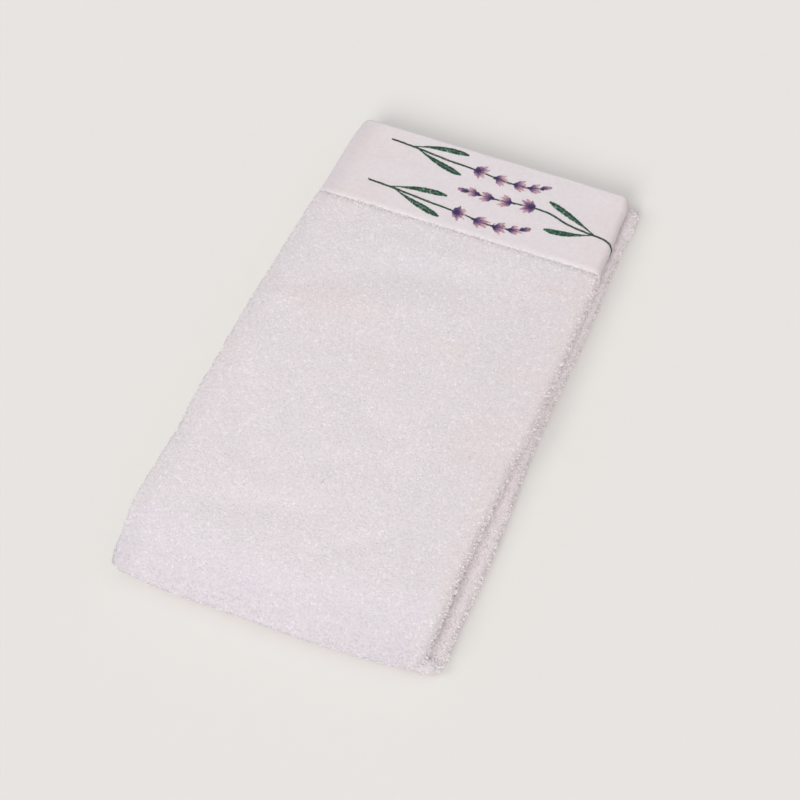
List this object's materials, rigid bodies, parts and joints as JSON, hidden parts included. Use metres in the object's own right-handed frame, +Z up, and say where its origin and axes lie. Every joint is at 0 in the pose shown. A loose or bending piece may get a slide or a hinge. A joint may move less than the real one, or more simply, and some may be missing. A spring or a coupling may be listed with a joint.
{
  "type": "folded hand towel",
  "caption": "Terry hand towel, sides turned under and folded in half, with a smooth plain-woven end band that carries embroidered flower sprigs.",
  "frame": {"origin": "on the resting surface, under the middle of the folded towel's box", "axes": "+Z up, through the folded layers; +Y along the towel, from the near fold to the end with the band; +X across it"},
  "size_m": [0.2621, 0.4889, 0.032],
  "materials": {
    "terry": "matte looped cotton",
    "band": "smooth plain-woven cotton",
    "leaf_thread": "lustrous satin-stitch thread",
    "petal_thread": "lustrous satin-stitch thread"
  },
  "bodies": {
    "root": {"terry": "terry", "band": "band"}
  },
  "joints": []
}
